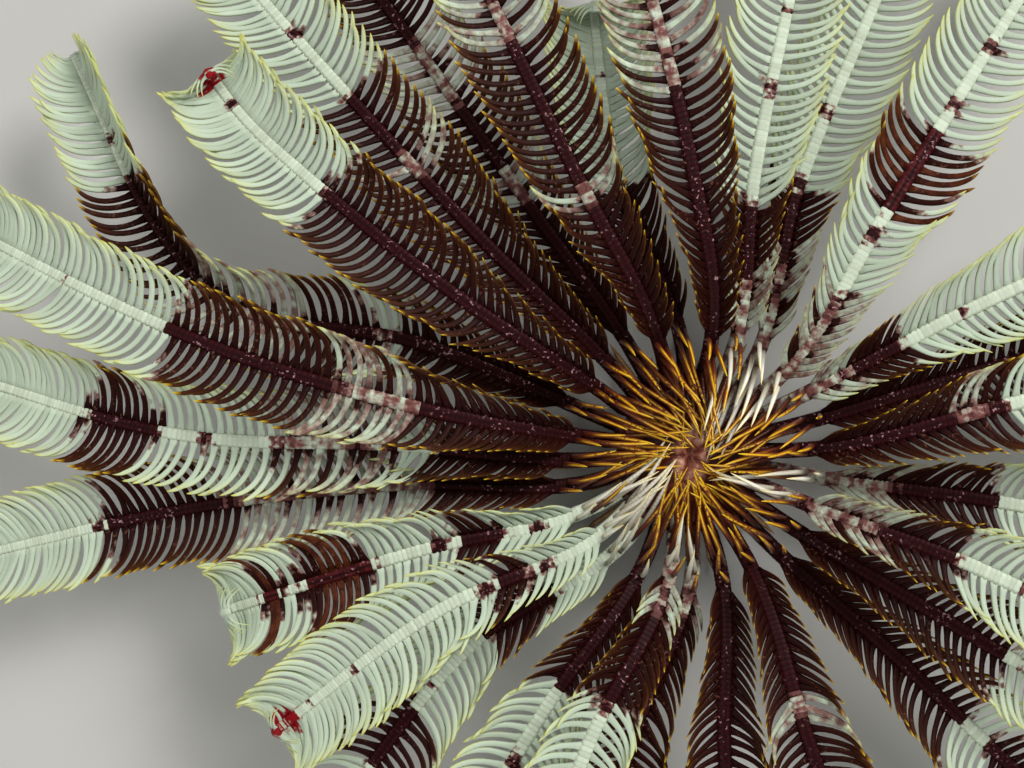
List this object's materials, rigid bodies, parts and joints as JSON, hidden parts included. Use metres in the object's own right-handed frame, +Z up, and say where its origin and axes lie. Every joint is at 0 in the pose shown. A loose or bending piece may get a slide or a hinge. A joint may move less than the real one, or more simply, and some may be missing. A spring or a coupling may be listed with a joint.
{
  "type": "feather star",
  "caption": "Feather star spread mouth up, with long feathered arms in tiers, stiff spines closing over the mouth and gripping cirri below.",
  "frame": {"origin": "under the middle of the animal's box, on the floor", "axes": "+Z up through the mouth, +Y the picture's up, +X the picture's right"},
  "size_m": [0.2024, 0.1916, 0.0286],
  "materials": {
    "cirrus": "matt brown jointed ossicles",
    "calyx": "matt maroon-brown plates",
    "tegmen": "soft pinkish skin, slightly wet",
    "ossicle": "dark maroon, satin",
    "pinnule": "greenish white, satin"
  },
  "bodies": {
    "root": {"centrodorsal": "cirrus", "calyx": "calyx", "disc": "tegmen", "arm_01_inner": "ossicle", "arm_01_outer": "pinnule", "arm_02_inner": "ossicle", "arm_02_outer": "pinnule", "arm_03_inner": "ossicle", "arm_03_outer": "pinnule", "arm_04_inner": "ossicle", "arm_04_outer": "pinnule", "arm_05_inner": "ossicle", "arm_05_outer": "pinnule", "arm_06_inner": "ossicle", "arm_06_outer": "pinnule", "arm_07_inner": "ossicle", "arm_07_outer": "pinnule", "arm_08_inner": "ossicle", "arm_08_outer": "pinnule", "arm_09_inner": "ossicle", "arm_09_outer": "pinnule", "arm_10_inner": "ossicle", "arm_10_outer": "pinnule", "arm_11_inner": "ossicle", "arm_11_outer": "pinnule", "arm_12_inner": "ossicle", "arm_12_outer": "pinnule", "arm_13_inner": "ossicle", "arm_13_outer": "pinnule", "arm_14_inner": "ossicle", "arm_14_outer": "pinnule", "arm_15_inner": "ossicle", "arm_15_outer": "pinnule", "arm_16_inner": "ossicle", "arm_16_outer": "pinnule", "arm_17_inner": "ossicle", "arm_17_outer": "pinnule", "arm_18_inner": "ossicle", "arm_18_outer": "pinnule", "arm_19_inner": "ossicle", "arm_19_outer": "pinnule", "arm_20_inner": "ossicle", "arm_20_outer": "pinnule", "arm_21_inner": "ossicle", "arm_21_outer": "pinnule", "arm_22_inner": "ossicle", "arm_22_outer": "pinnule", "arm_23_inner": "ossicle", "arm_23_outer": "pinnule", "arm_24_inner": "ossicle", "arm_24_outer": "pinnule", "arm_25_inner": "ossicle", "arm_25_outer": "pinnule", "arm_26_inner": "ossicle", "arm_26_outer": "pinnule", "arm_27_inner": "ossicle", "arm_27_outer": "pinnule", "arm_28_inner": "ossicle", "arm_28_outer": "pinnule"}
  },
  "joints": []
}
